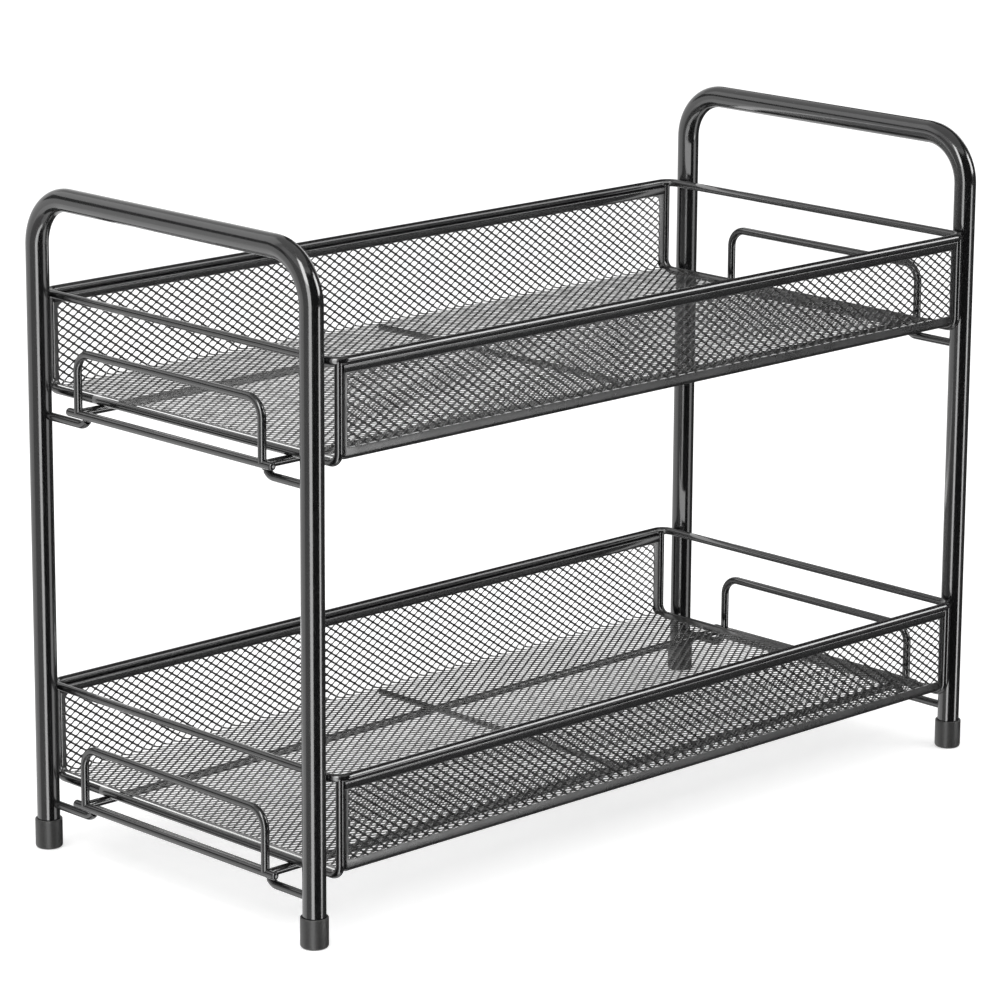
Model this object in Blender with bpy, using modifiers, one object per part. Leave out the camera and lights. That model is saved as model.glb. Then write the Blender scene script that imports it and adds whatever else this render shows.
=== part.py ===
"""Two-tier countertop spice rack in coated steel.

Two bent-tube end frames stand on foot caps. Each carries two cross wires, the hangers, and a
basket of expanded steel sheet and round wire rests on the hangers of each tier.
X runs along the rack, Y from the front to the back, Z up, and the rack stands on Z = 0.
"""

import math

import bmesh
import bpy
from mathutils import Vector

# Stock sizes.
TUBE_D = 0.011
WIRE_D = 0.004
CROSS_WIRE_D = 0.0026
SHEET_T = 0.0007
FIT_GAP = 0.0003

# End frames, measured between tube axes.
LEG_SPAN_X = 0.440
LEG_SPAN_Y = 0.192
FRAME_TOP_Z = 0.3195
FRAME_BEND_R = 0.024

# Foot caps.
CAP_HEIGHT = 0.0147
CAP_FLOOR = 0.0025
CAP_WALL = 0.0008
CAP_EDGE_R = 0.0004

# Baskets: the height of each rim, and the rest measured down from the rim's axis.
RIM_Z = {"upper": 0.271, "lower": 0.079}
RIM_HALF_WIDTH = 0.1028
RIM_CORNER_R = 0.007
FLOOR_DROP = 0.0455
FOLD_R = 0.0022
END_WIRE_INSET = 0.003
END_WIRE_BEND_R = 0.0055
HEM_HEIGHT = 0.0034
HEM_STRIP_T = 0.0006
END_BORDER = 0.003
STRAND_W = 0.0046

# Openings of the sheet: cells along X, and cell rows up a wall and across the floor.
CELLS_LONG = 8
WALL_ROWS = 2
FLOOR_ROWS = 7

# Carrying frame under each basket, and the guard loops that stand on its end bars.
RUNNER_Y = 0.0662
BAR_HALF = 0.0725
LOOP_HALF = 0.0649
LOOP_TOP_DROP = 0.0215
LOOP_BEND_R = 0.009

# Hangers: set in from the legs' axes, with a middle run that stands above the ends.
HANGER_INSET = 0.002
HANGER_RISE = 0.0048
HANGER_SLOPE = math.radians(52)
HANGER_BEND_R = 0.0035
HOOK_ANGLE = math.radians(18)

# Facets.
TUBE_SIDES = 16
WIRE_SIDES = 8
TUBE_BEND_STEPS = 7
WIRE_BEND_STEPS = 3
CAP_SIDES = 24
FOLD_STEPS = 3

# Levels and stations that follow from the sizes above.
TUBE_R = TUBE_D / 2
WIRE_R = WIRE_D / 2
WIRE_PITCH = WIRE_D + FIT_GAP
LEG_X = LEG_SPAN_X / 2
LEG_Y = LEG_SPAN_Y / 2
RIM_X = LEG_X - TUBE_R - FIT_GAP - WIRE_R
END_WIRE_X = RIM_X - END_WIRE_INSET
CORNER_CUT = RIM_CORNER_R - END_WIRE_INSET
WALL_Y = RIM_HALF_WIDTH - RIM_CORNER_R + math.sqrt(RIM_CORNER_R**2 - CORNER_CUT**2)
SHEET_HALF = END_WIRE_X - WIRE_R - FIT_GAP
HEM_TOP = -WIRE_R - FIT_GAP
SHEET_TOP = HEM_TOP - HEM_STRIP_T - FIT_GAP
HEM_BOTTOM = HEM_TOP - HEM_HEIGHT
CROSS_WIRE_Z = -FLOOR_DROP - SHEET_T / 2 - FIT_GAP - CROSS_WIRE_D / 2
RUNNER_Z = CROSS_WIRE_Z - CROSS_WIRE_D / 2 - FIT_GAP - WIRE_R
END_WIRE_Z = RUNNER_Z + WIRE_PITCH
HANGER_X = LEG_X - HANGER_INSET
BAR_X = HANGER_X + WIRE_PITCH * math.cos(HOOK_ANGLE)
HANGER_MID_Z = RUNNER_Z - WIRE_PITCH * math.sin(HOOK_ANGLE)
HANGER_END_Z = HANGER_MID_Z - HANGER_RISE
RUNNER_HALF = BAR_X - WIRE_R - FIT_GAP
LOOP_FOOT_Z = RUNNER_Z + WIRE_R + FIT_GAP


def clear_scene():
    for obj in list(bpy.data.objects):
        bpy.data.objects.remove(obj, do_unlink=True)


def make_material(name, colour, roughness, metallic):
    material = bpy.data.materials.new(name)
    material.use_nodes = True
    shader = material.node_tree.nodes["Principled BSDF"]
    shader.inputs["Base Color"].default_value = (*colour, 1.0)
    shader.inputs["Roughness"].default_value = roughness
    shader.inputs["Metallic"].default_value = metallic
    return material


def rounded_path(corners, radius, steps):
    """The corners as a path whose inner corners are arcs of this radius."""
    path = [corners[0]]
    for before, corner, after in zip(corners, corners[1:], corners[2:]):
        path += corner_arc(before, corner, after, radius, steps)
    return path + [corners[-1]]


def rounded_ring(corners, radius, steps):
    """The corners as a closed path, with every corner an arc of this radius."""
    path = []
    for index, corner in enumerate(corners):
        after = corners[(index + 1) % len(corners)]
        path += corner_arc(corners[index - 1], corner, after, radius, steps)
    return path


def corner_arc(before, corner, after, radius, steps):
    into = (corner - before).normalized()
    out_of = (after - corner).normalized()
    turn = into.angle(out_of)
    reach = radius * math.tan(turn / 2)
    start = corner - into * reach
    inward = (out_of - into * into.dot(out_of)).normalized()
    centre = start + inward * radius
    arc = []
    for step in range(steps + 1):
        angle = turn * step / steps
        arc.append(centre + radius * (into * math.sin(angle) - inward * math.cos(angle)))
    return arc


def wire_curve(name, path, diameter, sides, material, closed=False):
    curve = bpy.data.curves.new(name, "CURVE")
    curve.dimensions = "3D"
    curve.bevel_depth = diameter / 2
    curve.bevel_resolution = sides // 2 - 2
    curve.use_fill_caps = not closed
    spline = curve.splines.new("POLY")
    spline.points.add(len(path) - 1)
    for point, place in zip(spline.points, path):
        point.co = (*place, 1.0)
    spline.use_cyclic_u = closed
    spline.use_smooth = True
    curve.materials.append(material)
    return curve


def add_piece(name, data, location, collection, parent=None):
    piece = bpy.data.objects.new(name, data)
    piece.location = location
    piece.parent = parent
    collection.objects.link(piece)
    return piece


def end_frame_curve(material):
    """A tube bent over in an arch, its legs ending just above the floors of the foot caps."""
    foot_z = CAP_FLOOR + FIT_GAP
    corners = [
        Vector((0, -LEG_Y, foot_z)),
        Vector((0, -LEG_Y, FRAME_TOP_Z)),
        Vector((0, LEG_Y, FRAME_TOP_Z)),
        Vector((0, LEG_Y, foot_z)),
    ]
    path = rounded_path(corners, FRAME_BEND_R, TUBE_BEND_STEPS)
    return wire_curve("end_frame", path, TUBE_D, TUBE_SIDES, material)


def foot_cap_profile(material):
    """Half section of the cap: its bore, then its outer side from the mouth down to the floor."""
    bore_r = TUBE_R + FIT_GAP
    outer_r = bore_r + CAP_WALL
    section = [
        (0, CAP_FLOOR),
        (bore_r, CAP_FLOOR),
        (bore_r, CAP_HEIGHT),
        (outer_r - CAP_EDGE_R, CAP_HEIGHT),
        (outer_r, CAP_HEIGHT - CAP_EDGE_R),
        (outer_r, CAP_EDGE_R),
        (outer_r - CAP_EDGE_R, 0),
        (0, 0),
    ]
    mesh = bpy.data.meshes.new("foot_cap")
    edges = [(index, index + 1) for index in range(len(section) - 1)]
    mesh.from_pydata([(radius, 0, height) for radius, height in section], edges, [])
    mesh.materials.append(material)
    return mesh


def add_foot_cap(name, mesh, location, collection):
    cap = add_piece(name, mesh, location, collection)
    screw = cap.modifiers.new("turn", "SCREW")
    screw.axis = "Z"
    screw.steps = CAP_SIDES
    screw.render_steps = CAP_SIDES
    screw.use_merge_vertices = True
    screw.merge_threshold = 0.00001
    screw.use_smooth_shade = False
    return cap


def hanger_curve(material):
    """A cross wire between the legs, raised in the middle so that it fits between the runners."""
    rise_x = WIRE_PITCH * math.sin(HANGER_SLOPE)
    rise_z = WIRE_PITCH * math.cos(HANGER_SLOPE)
    touch_y = RUNNER_Y - rise_x
    touch_z = RUNNER_Z - rise_z
    low_y = touch_y + (touch_z - HANGER_END_Z) / math.tan(HANGER_SLOPE)
    high_y = touch_y - (HANGER_MID_Z - touch_z) / math.tan(HANGER_SLOPE)
    end_y = LEG_Y - TUBE_R - FIT_GAP
    half = [
        Vector((0, -end_y, HANGER_END_Z)),
        Vector((0, -low_y, HANGER_END_Z)),
        Vector((0, -high_y, HANGER_MID_Z)),
    ]
    corners = half + [Vector((0, -corner.y, corner.z)) for corner in reversed(half)]
    path = rounded_path(corners, HANGER_BEND_R, WIRE_BEND_STEPS)
    return wire_curve("hanger", path, WIRE_D, WIRE_SIDES, material)


def rim_curve(material):
    corners = [
        Vector((RIM_X, -RIM_HALF_WIDTH, 0)),
        Vector((RIM_X, RIM_HALF_WIDTH, 0)),
        Vector((-RIM_X, RIM_HALF_WIDTH, 0)),
        Vector((-RIM_X, -RIM_HALF_WIDTH, 0)),
    ]
    path = rounded_ring(corners, RIM_CORNER_R, WIRE_BEND_STEPS)
    return wire_curve("rim_wire", path, WIRE_D, WIRE_SIDES, material, closed=True)


def end_wire_curve(material):
    """A U that closes the end of the sheet, from under one corner of the rim to the other."""
    corners = [
        Vector((0, -WALL_Y, HEM_TOP)),
        Vector((0, -WALL_Y, END_WIRE_Z)),
        Vector((0, WALL_Y, END_WIRE_Z)),
        Vector((0, WALL_Y, HEM_TOP)),
    ]
    path = rounded_path(corners, END_WIRE_BEND_R, WIRE_BEND_STEPS)
    return wire_curve("end_wire", path, WIRE_D, WIRE_SIDES, material)


def guard_loop_curve(material):
    corners = [
        Vector((0, -LOOP_HALF, LOOP_FOOT_Z)),
        Vector((0, -LOOP_HALF, -LOOP_TOP_DROP)),
        Vector((0, LOOP_HALF, -LOOP_TOP_DROP)),
        Vector((0, LOOP_HALF, LOOP_FOOT_Z)),
    ]
    path = rounded_path(corners, LOOP_BEND_R, WIRE_BEND_STEPS)
    return wire_curve("guard_loop", path, WIRE_D, WIRE_SIDES, material)


def straight_wire_curve(name, direction, half_length, diameter, material):
    path = [direction * -half_length, direction * half_length]
    return wire_curve(name, path, diameter, WIRE_SIDES, material)


def hem_curve(material):
    """A strip folded over the top edge of a wall: a channel, open below, drawn in its section."""
    inner = SHEET_T / 2 + FIT_GAP
    outer = inner + HEM_STRIP_T
    crown = outer * 0.45
    section = [
        (-outer, -HEM_HEIGHT),
        (-outer, -crown),
        (-crown, 0),
        (crown, 0),
        (outer, -crown),
        (outer, -HEM_HEIGHT),
        (inner, -HEM_HEIGHT),
        (inner, -HEM_STRIP_T),
        (-inner, -HEM_STRIP_T),
        (-inner, -HEM_HEIGHT),
    ]
    curve = bpy.data.curves.new("hem", "CURVE")
    curve.dimensions = "2D"
    curve.fill_mode = "BOTH"
    curve.extrude = SHEET_HALF
    spline = curve.splines.new("POLY")
    spline.points.add(len(section) - 1)
    for point, (across, height) in zip(spline.points, section):
        point.co = (across, height, 0, 1.0)
    spline.use_cyclic_u = True
    curve.materials.append(material)
    return curve


def sheet_rows():
    """Stations along the sheet's section, from the front edge to the back, and the open spans.

    Each station is (y, z). An open span is the pair of row numbers that its cells lie between.
    """
    wall_foot = -FLOOR_DROP + FOLD_R
    floor_half = WALL_Y - FOLD_R
    half = [(-WALL_Y, SHEET_TOP)]
    for row in range(WALL_ROWS + 1):
        half.append((-WALL_Y, HEM_BOTTOM + (wall_foot - HEM_BOTTOM) * row / WALL_ROWS))
    for step in range(1, FOLD_STEPS + 1):
        angle = math.pi / 2 * step / FOLD_STEPS
        half.append((-floor_half - FOLD_R * math.cos(angle), wall_foot - FOLD_R * math.sin(angle)))
    inner_floor = []
    for row in range(1, FLOOR_ROWS):
        inner_floor.append((-floor_half + 2 * floor_half * row / FLOOR_ROWS, -FLOOR_DROP))
    stations = half + inner_floor + [(-y, z) for y, z in reversed(half)]
    floor_start = 1 + WALL_ROWS + FOLD_STEPS
    wall_start = floor_start + FLOOR_ROWS + FOLD_STEPS
    spans = [
        (1, 1 + WALL_ROWS),
        (floor_start, floor_start + FLOOR_ROWS),
        (wall_start, wall_start + WALL_ROWS),
    ]
    return stations, spans


def sheet_mesh(material):
    """The expanded sheet, folded up at the front and the back, as a surface of diamond cells.

    A grid gets a centre point in each open square, and the squares' own edges are dissolved, which
    leaves the diamonds between the centres. Each is then inset, and its inside is taken out.
    """
    stations, spans = sheet_rows()
    columns = CELLS_LONG + 2
    rows = len(stations) - 1
    lattice_half = SHEET_HALF - END_BORDER
    lattice_x = [-lattice_half + 2 * lattice_half * cell / CELLS_LONG for cell in range(CELLS_LONG + 1)]
    column_x = [-SHEET_HALF, *lattice_x, SHEET_HALF]
    form = bmesh.new()
    bmesh.ops.create_grid(form, x_segments=columns, y_segments=rows, size=0.5)
    for vert in form.verts:
        column = round((vert.co.x + 0.5) * columns)
        row = round((vert.co.y + 0.5) * rows)
        vert.co = (column_x[column], row, 0)
    open_squares = []
    for face in form.faces:
        middle = face.calc_center_median()
        in_span = any(low < middle.y < high for low, high in spans)
        if in_span and abs(middle.x) < lattice_half:
            open_squares.append(face)
    corners = set(form.verts)
    cells = bmesh.ops.poke(form, faces=open_squares)["faces"]
    in_lattice = set(cells)
    old_edges = set()
    for cell in cells:
        for edge in cell.edges:
            between_cells = all(face in in_lattice for face in edge.link_faces)
            if between_cells and len(edge.link_faces) == 2 and corners.issuperset(edge.verts):
                old_edges.add(edge)
    bmesh.ops.dissolve_edges(form, edges=list(old_edges), use_verts=False)
    cells = [face for face in form.faces if any(vert not in corners for vert in face.verts)]
    for vert in form.verts:
        row = min(int(vert.co.y), rows - 1)
        share = vert.co.y - row
        low = Vector((0, *stations[row]))
        high = Vector((0, *stations[row + 1]))
        vert.co = low.lerp(high, share) + Vector((vert.co.x, 0, 0))
    form.normal_update()
    bmesh.ops.inset_individual(form, faces=cells, thickness=STRAND_W / 2, use_even_offset=True)
    bmesh.ops.delete(form, geom=cells, context="FACES")
    bmesh.ops.recalc_face_normals(form, faces=form.faces)
    mesh = bpy.data.meshes.new("mesh_sheet")
    form.to_mesh(mesh)
    form.free()
    mesh.materials.append(material)
    return mesh


def add_sheet(name, mesh, location, collection, parent):
    sheet = add_piece(name, mesh, location, collection, parent)
    solid = sheet.modifiers.new("sheet thickness", "SOLIDIFY")
    solid.thickness = SHEET_T
    solid.offset = 0
    solid.use_even_offset = True
    return sheet


def add_end_frames(collection, frame_coat, hanger_coat, cap_rubber):
    frame = end_frame_curve(frame_coat)
    hanger = hanger_curve(hanger_coat)
    cap = foot_cap_profile(cap_rubber)
    for side, x in (("left", -LEG_X), ("right", LEG_X)):
        add_piece(f"{side}_end_frame", frame, (x, 0, 0), collection)
        for depth, y in (("front", -LEG_Y), ("rear", LEG_Y)):
            add_foot_cap(f"{side}_{depth}_foot_cap", cap, (x, y, 0), collection)
        hanger_x = math.copysign(HANGER_X, x)
        for tier, rim_z in RIM_Z.items():
            add_piece(f"{side}_{tier}_hanger", hanger, (hanger_x, 0, rim_z), collection)


def add_baskets(collection, wire_coat, hem_coat, sheet_coat, loop_coat):
    along_x = Vector((1, 0, 0))
    along_y = Vector((0, 1, 0))
    cross_half = RUNNER_Y + WIRE_R
    rim = rim_curve(wire_coat)
    hem = hem_curve(hem_coat)
    end_wire = end_wire_curve(wire_coat)
    sheet = sheet_mesh(sheet_coat)
    runner = straight_wire_curve("runner", along_x, RUNNER_HALF, WIRE_D, wire_coat)
    end_bar = straight_wire_curve("end_bar", along_y, BAR_HALF, WIRE_D, wire_coat)
    cross_wire = straight_wire_curve("cross_wire", along_y, cross_half, CROSS_WIRE_D, wire_coat)
    guard_loop = guard_loop_curve(loop_coat)
    for tier, rim_z in RIM_Z.items():
        basket = add_piece(f"{tier}_basket", None, (0, 0, rim_z), collection)
        add_piece(f"{tier}_rim_wire", rim, (0, 0, 0), collection, basket)
        add_sheet(f"{tier}_mesh_sheet", sheet, (0, 0, 0), collection, basket)
        add_piece(f"{tier}_cross_wire", cross_wire, (0, 0, CROSS_WIRE_Z), collection, basket)
        for depth, sign in (("front", -1), ("rear", 1)):
            hem_place = (0, sign * WALL_Y, HEM_TOP)
            strip = add_piece(f"{tier}_{depth}_hem", hem, hem_place, collection, basket)
            strip.rotation_euler = (math.pi / 2, 0, math.pi / 2)
            runner_place = (0, sign * RUNNER_Y, RUNNER_Z)
            add_piece(f"{tier}_{depth}_runner", runner, runner_place, collection, basket)
        for side, sign in (("left", -1), ("right", 1)):
            end_place = (sign * END_WIRE_X, 0, 0)
            add_piece(f"{tier}_{side}_end_wire", end_wire, end_place, collection, basket)
            bar_place = (sign * BAR_X, 0, RUNNER_Z)
            add_piece(f"{tier}_{side}_end_bar", end_bar, bar_place, collection, basket)
            loop_place = (sign * BAR_X, 0, 0)
            add_piece(f"{tier}_{side}_guard_loop", guard_loop, loop_place, collection, basket)


def main():
    clear_scene()
    collection = bpy.data.collections.new("tiered_spice_rack")
    bpy.context.scene.collection.children.link(collection)
    frame_coat = make_material("end_frame_coat", (0.020, 0.021, 0.022), 0.24, 0.75)
    hanger_coat = make_material("hanger_coat", (0.024, 0.025, 0.026), 0.30, 0.75)
    wire_coat = make_material("basket_wire_coat", (0.026, 0.027, 0.028), 0.30, 0.75)
    loop_coat = make_material("guard_loop_coat", (0.028, 0.029, 0.030), 0.30, 0.75)
    hem_coat = make_material("hem_coat", (0.024, 0.025, 0.026), 0.34, 0.75)
    sheet_coat = make_material("mesh_sheet_coat", (0.030, 0.031, 0.032), 0.36, 0.75)
    cap_rubber = make_material("foot_cap_rubber", (0.052, 0.053, 0.054), 0.70, 0.0)
    add_end_frames(collection, frame_coat, hanger_coat, cap_rubber)
    add_baskets(collection, wire_coat, hem_coat, sheet_coat, loop_coat)


main()
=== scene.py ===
# %% [markdown]
# # A two-tier spice rack
#
# This lesson dresses a small countertop rack. Two bent steel tubes stand on rubber caps, and each
# tier is a shallow basket of expanded steel sheet that hangs between them on welded wires.
# The solids of every piece are already in place, at real size, so each cell reads its places from
# them and builds the finer surface that the eye sees.

# %% Load the rack
import math
import random

import bmesh
import bpy
import numpy as np
from mathutils import Matrix, Vector


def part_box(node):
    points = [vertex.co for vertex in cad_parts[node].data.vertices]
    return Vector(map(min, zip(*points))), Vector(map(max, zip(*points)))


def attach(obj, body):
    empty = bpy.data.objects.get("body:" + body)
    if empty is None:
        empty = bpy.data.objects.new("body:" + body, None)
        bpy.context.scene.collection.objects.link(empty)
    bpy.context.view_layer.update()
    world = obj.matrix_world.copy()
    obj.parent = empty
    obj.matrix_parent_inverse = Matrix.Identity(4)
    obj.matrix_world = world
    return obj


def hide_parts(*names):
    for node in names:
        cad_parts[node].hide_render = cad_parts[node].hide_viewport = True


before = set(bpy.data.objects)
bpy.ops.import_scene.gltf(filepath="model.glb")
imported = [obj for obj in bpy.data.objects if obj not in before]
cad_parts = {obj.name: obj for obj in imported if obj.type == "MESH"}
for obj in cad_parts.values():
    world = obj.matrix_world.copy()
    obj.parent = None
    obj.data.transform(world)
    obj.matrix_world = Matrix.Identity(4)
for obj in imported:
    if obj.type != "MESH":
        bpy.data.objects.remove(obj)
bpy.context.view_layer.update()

# %% [markdown]
# ## Places read from the solids
#
# A wire's thickness is the height of a runner, and a tube's is the width of an end frame. These
# sizes could be typed in again, but taking every station from the solids keeps the finer pieces
# exactly where the solids are.

# %% Stock sizes and stations
TIERS = ("upper", "lower")
SIDES = (("left", -1), ("right", 1))
DEPTHS = (("front", -1), ("rear", 1))

frame_low, frame_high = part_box("right_end_frame")
TUBE_R = (frame_high.x - frame_low.x) / 2
LEG_X = (frame_high.x + frame_low.x) / 2
LEG_Y = frame_high.y - TUBE_R
FRAME_TOP_Z = frame_high.z - TUBE_R
FRAME_FOOT_Z = frame_low.z

runner_low, runner_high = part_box("upper_front_runner")
WIRE_R = (runner_high.z - runner_low.z) / 2
RUNNER_Y = -(runner_low.y + runner_high.y) / 2

print("tube radius", round(TUBE_R, 4), "wire radius", round(WIRE_R, 4))
print("runners at", round(RUNNER_Y, 4), "from the middle")

# %% [markdown]
# Three sizes serve more than one piece. Neighbours in the solids stand a hair apart, and FIT_GAP
# is that gap. The sheet's thickness and the radius of its folds say how far the wires beside it
# may reach.

# %% Shared fit and fold
FIT_GAP = 0.0003
SHEET_T = 0.0007
FOLD_R = 0.0022

print("fit gap", FIT_GAP, "sheet", SHEET_T, "fold radius", FOLD_R)

# %% [markdown]
# ## Shader groups
#
# The whole rack wears one kind of finish, a dark metallic lacquer baked onto steel. Lacquer is
# never quite flat: it pulls into a faint orange peel, gathers fine dust, and its gloss wanders a
# little from place to place. Faces that look up are also painted paler, partly as dust and partly
# as a painted sheen of the light from above. All of it could be painted into pictures, but noise
# in the object's own space needs no unwrapping and stays sharp up close. Each effect is a node
# group, built once and placed in each material with its own values.


# %% Helpers that build a node group
def new_group(name, inputs, outputs):
    group = bpy.data.node_groups.new(name, "ShaderNodeTree")
    for label, kind, value in inputs:
        socket = group.interface.new_socket(name=label, in_out="INPUT", socket_type=kind)
        socket.default_value = value
    for label, kind in outputs:
        group.interface.new_socket(name=label, in_out="OUTPUT", socket_type=kind)
    group_in = group.nodes.new("NodeGroupInput")
    group_out = group.nodes.new("NodeGroupOutput")
    return group, group_in, group_out


def add_noise(tree, coordinates, detail=2.0, roughness=0.5):
    noise = tree.nodes.new("ShaderNodeTexNoise")
    noise.inputs["Detail"].default_value = detail
    noise.inputs["Roughness"].default_value = roughness
    tree.links.new(coordinates, noise.inputs["Vector"])
    return noise


def add_math(tree, operation, first, second=None):
    node = tree.nodes.new("ShaderNodeMath")
    node.operation = operation
    for socket, value in zip(node.inputs, (first, second)):
        if isinstance(value, (int, float)):
            socket.default_value = value
        elif value is not None:
            tree.links.new(value, socket)
    return node.outputs["Value"]


def add_range(tree, value, low, high, to_low=0.0, to_high=1.0):
    node = tree.nodes.new("ShaderNodeMapRange")
    node.inputs["From Min"].default_value = low
    node.inputs["From Max"].default_value = high
    for label, bound in (("To Min", to_low), ("To Max", to_high)):
        if isinstance(bound, (int, float)):
            node.inputs[label].default_value = bound
        else:
            tree.links.new(bound, node.inputs[label])
    tree.links.new(value, node.inputs["Value"])
    return node.outputs["Result"]


print("helpers for groups, noise, sums and ranges are ready")

# %% [markdown]
# Baked lacquer flows before it sets, and dries in tiny swells. Two noises make them, a fine one for
# the swells and a broad one for where the coat sagged. The group gives only a height. A Bump node
# in the material turns it into slopes that bend the highlights, which is enough for swells that
# are far too shallow to change the outline.


# %% Orange peel: the height of baked lacquer
def build_orange_peel():
    inputs = [("Pitch", "NodeSocketFloat", 700.0), ("Sag", "NodeSocketFloat", 0.35)]
    group, start, end = new_group("orange peel", inputs, [("Height", "NodeSocketFloat")])
    place = group.nodes.new("ShaderNodeTexCoord").outputs["Object"]
    fine = add_noise(group, place, detail=1.5)
    group.links.new(start.outputs["Pitch"], fine.inputs["Scale"])
    broad = add_noise(group, place, detail=1.0)
    broad_scale = add_math(group, "MULTIPLY", start.outputs["Pitch"], 0.22)
    group.links.new(broad_scale, broad.inputs["Scale"])
    sag = add_math(group, "MULTIPLY", broad.outputs["Fac"], start.outputs["Sag"])
    height = add_math(group, "ADD", fine.outputs["Fac"], sag)
    group.links.new(height, end.inputs["Height"])
    return group


orange_peel = build_orange_peel()
print("made group", orange_peel.name)

# %% [markdown]
# Hands and cloths dull a coat in some places and polish it in others. A cloudy noise slides the
# roughness between a shiny and a dull value, so a long highlight changes a little on its way.


# %% Uneven gloss: where handling has dulled or polished the coat
def build_uneven_gloss():
    inputs = [
        ("Shiny", "NodeSocketFloat", 0.2),
        ("Dull", "NodeSocketFloat", 0.35),
        ("Scale", "NodeSocketFloat", 55.0),
    ]
    group, start, end = new_group("uneven gloss", inputs, [("Roughness", "NodeSocketFloat")])
    place = group.nodes.new("ShaderNodeTexCoord").outputs["Object"]
    cloud = add_noise(group, place, detail=4.0, roughness=0.6)
    group.links.new(start.outputs["Scale"], cloud.inputs["Scale"])
    spread = add_range(
        group, cloud.outputs["Fac"], 0.35, 0.65, start.outputs["Shiny"], start.outputs["Dull"]
    )
    group.links.new(spread, end.inputs["Roughness"])
    return group


uneven_gloss = build_uneven_gloss()
print("made group", uneven_gloss.name)

# %% [markdown]
# Metallic paint holds tiny flakes. Every cell of a very fine Voronoi texture has a random colour of
# its own, and that is all a flake needs: the red channel picks the cells that are flakes, and the
# green one says how bright each is.


# %% Metal flake: fine pigment that lifts the colour in specks
def build_flake():
    inputs = [
        ("Base", "NodeSocketColor", (0.02, 0.02, 0.02, 1.0)),
        ("Fleck", "NodeSocketColor", (0.06, 0.06, 0.06, 1.0)),
        ("Scale", "NodeSocketFloat", 5200.0),
        ("Share", "NodeSocketFloat", 0.3),
    ]
    group, start, end = new_group("metal flake", inputs, [("Color", "NodeSocketColor")])
    place = group.nodes.new("ShaderNodeTexCoord").outputs["Object"]
    cells = group.nodes.new("ShaderNodeTexVoronoi")
    group.links.new(place, cells.inputs["Vector"])
    group.links.new(start.outputs["Scale"], cells.inputs["Scale"])
    tone = group.nodes.new("ShaderNodeSeparateColor")
    group.links.new(cells.outputs["Color"], tone.inputs["Color"])
    speck = add_math(group, "LESS_THAN", tone.outputs["Red"], start.outputs["Share"])
    strength = add_math(group, "MULTIPLY", speck, tone.outputs["Green"])
    mix = group.nodes.new("ShaderNodeMix")
    mix.data_type = "RGBA"
    group.links.new(strength, mix.inputs["Factor"])
    group.links.new(start.outputs["Base"], mix.inputs["A"])
    group.links.new(start.outputs["Fleck"], mix.inputs["B"])
    group.links.new(mix.outputs["Result"], end.inputs["Color"])
    return group


metal_flake = build_flake()
print("made group", metal_flake.name)

# %% [markdown]
# Dust settles on what faces up, and the same pale bloom also stands in for light from above: it is
# part dust and part painted sheen. The normal's Z says how far a face looks up, and a noise breaks
# the bloom into patches, as a cloth leaves it.


# %% Dust and painted sheen: a pale bloom on whatever faces up
def build_dust_and_sheen():
    inputs = [
        ("Color", "NodeSocketColor", (0.02, 0.02, 0.02, 1.0)),
        ("Dust and sheen", "NodeSocketColor", (0.30, 0.29, 0.27, 1.0)),
        ("Amount", "NodeSocketFloat", 0.05),
    ]
    group, start, end = new_group("dust_and_painted_sheen", inputs, [("Color", "NodeSocketColor")])
    facing = group.nodes.new("ShaderNodeNewGeometry")
    axes = group.nodes.new("ShaderNodeSeparateXYZ")
    group.links.new(facing.outputs["Normal"], axes.inputs["Vector"])
    # Faces that look up are painted paler: partly settled dust, partly a painted sheen of light from
    # above.
    upward = add_range(group, axes.outputs["Z"], 0.2, 1.0)
    place = group.nodes.new("ShaderNodeTexCoord").outputs["Object"]
    patches = add_noise(group, place, detail=5.0, roughness=0.65)
    patches.inputs["Scale"].default_value = 120.0
    patchy = add_range(group, patches.outputs["Fac"], 0.4, 0.7)
    amount = add_math(group, "MULTIPLY", upward, patchy)
    amount = add_math(group, "MULTIPLY", amount, start.outputs["Amount"])
    mix = group.nodes.new("ShaderNodeMix")
    mix.data_type = "RGBA"
    group.links.new(amount, mix.inputs["Factor"])
    group.links.new(start.outputs["Color"], mix.inputs["A"])
    group.links.new(start.outputs["Dust and sheen"], mix.inputs["B"])
    group.links.new(mix.outputs["Result"], end.inputs["Color"])
    return group


dust_and_sheen = build_dust_and_sheen()
print("made group", dust_and_sheen.name)

# %% [markdown]
# ## Materials
#
# The lacquer is a Principled BSDF with a dark base. Full Metallic would be the other way to make
# it, but the photographed coat is nearly black between its highlights: its colour stays dark, and
# only its gloss is bright. A high index of refraction gives the gloss its strength. The flake
# makes it read as metal paint, and the peel in its bump as paint at all. Tubes, wires, hems and
# the sheet wear the same coat, each with its own gloss and its own share of dust and painted
# sheen. The sheet's share is the largest, so that its up-facing strands read paler.


# %% The lacquer family
LACQUER_IOR = 1.8
PITCH_BLACK = (0.0055, 0.0056, 0.0058, 1.0)
FLECK_GREY = (0.020, 0.020, 0.021, 1.0)
BUMP_DEPTH = 0.00004


def place_group(tree, group, values):
    node = tree.nodes.new("ShaderNodeGroup")
    node.node_tree = group
    for label, value in values.items():
        node.inputs[label].default_value = value
    return node


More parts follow.
